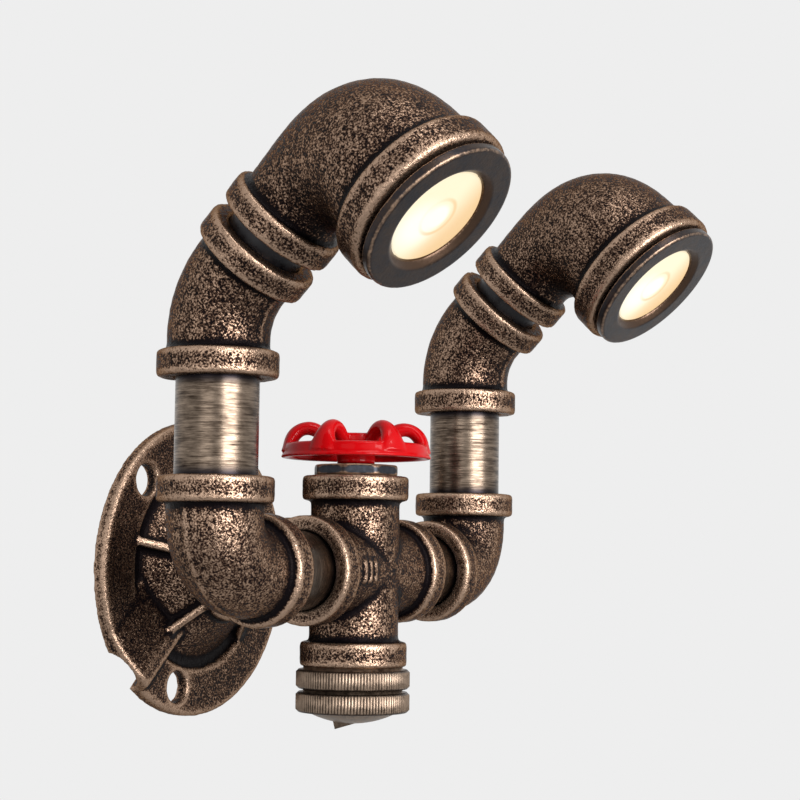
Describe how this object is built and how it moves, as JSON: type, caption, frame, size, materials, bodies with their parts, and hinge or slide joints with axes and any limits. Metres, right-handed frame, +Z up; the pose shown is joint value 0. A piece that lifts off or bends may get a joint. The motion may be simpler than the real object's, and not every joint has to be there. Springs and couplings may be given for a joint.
{
  "type": "industrial pipe wall light",
  "caption": "Wall light built of cast pipe fittings: a flange, a cross with a red hand wheel and two swivelling spot heads on risers.",
  "frame": {"origin": "centre of the wall flange's back face, on the wall", "axes": "+Y into the wall, +Z up, +X along the pipe run"},
  "size_m": [0.2175, 0.1729, 0.2046],
  "materials": {
    "bezel_metal": "satin dark bronze, bright rim edge",
    "black_pipe": "smooth satin black",
    "bonnet_metal": "dark grey satin with rubbed edges",
    "brushed_pipe": "brushed bronze with round streaks",
    "cast_bronze_paint": "rough cast, black-bronze paint rubbed to copper on the high spots",
    "gasket_rubber": "soft matt",
    "knurled_bronze": "straight knurled, aged",
    "lead_jacket": "round jacket",
    "led_board": "white board with a yellow chip",
    "lens_glass": "frosted, lit warm white",
    "red_enamel": "glossy red enamel",
    "reflector_mirror": "mirror",
    "sink_aluminium": "natural",
    "stem_brass": "turned",
    "switch_plastic": "moulded",
    "wheel_fastener": "red enamelled with the wheel"
  },
  "bodies": {
    "light_frame": {"bonnet_bushing": "bonnet_metal", "bottom_nipple": "brushed_pipe", "centre_cross": "cast_bronze_paint", "flange_nipple": "brushed_pipe", "knurled_cap": "knurled_bronze", "knurled_collar": "knurled_bronze", "lower_elbow_left": "cast_bronze_paint", "lower_elbow_right": "cast_bronze_paint", "riser_lead_left": "lead_jacket", "riser_lead_right": "lead_jacket", "riser_pipe_left": "brushed_pipe", "riser_pipe_right": "brushed_pipe", "rotary_switch": "switch_plastic", "run_nipple_left": "brushed_pipe", "run_nipple_right": "brushed_pipe", "switch_lead": "lead_jacket", "swivel_nipple_left": "black_pipe", "swivel_nipple_right": "black_pipe", "terminal_block": "switch_plastic", "upper_elbow_left": "cast_bronze_paint", "upper_elbow_right": "cast_bronze_paint", "wall_flange": "cast_bronze_paint"},
    "wheel": {"hand_wheel": "red_enamel", "valve_stem": "stem_brass", "wheel_nut": "wheel_fastener", "wheel_washer": "wheel_fastener"},
    "lamp_head_left": {"head_elbow_left": "cast_bronze_paint", "head_lead_left": "lead_jacket", "heat_sink_left": "sink_aluminium", "lamp_bezel_left": "bezel_metal", "lamp_lens_left": "lens_glass", "led_board_left": "led_board", "lens_gasket_left": "gasket_rubber", "reflector_left": "reflector_mirror"},
    "lamp_head_right": {"head_elbow_right": "cast_bronze_paint", "head_lead_right": "lead_jacket", "heat_sink_right": "sink_aluminium", "lamp_bezel_right": "bezel_metal", "lamp_lens_right": "lens_glass", "led_board_right": "led_board", "lens_gasket_right": "gasket_rubber", "reflector_right": "reflector_mirror"}
  },
  "joints": [
    {"name": "wheel_turn", "type": "hinge", "parent": "light_frame", "child": "wheel", "pos_m": [0, -0.0731, 0.0332], "axis": [0, 0, 1], "range_deg": [-270, 0]},
    {"name": "head_swivel_left", "type": "hinge", "parent": "light_frame", "child": "lamp_head_left", "pos_m": [-0.0822, -0.09403, 0.10623], "axis": [0, -0.7071, 0.7071], "range_deg": [-90, 90]},
    {"name": "head_swivel_right", "type": "hinge", "parent": "light_frame", "child": "lamp_head_right", "pos_m": [0.0781, -0.09403, 0.10623], "axis": [0, -0.7071, 0.7071], "range_deg": [-90, 90]}
  ]
}
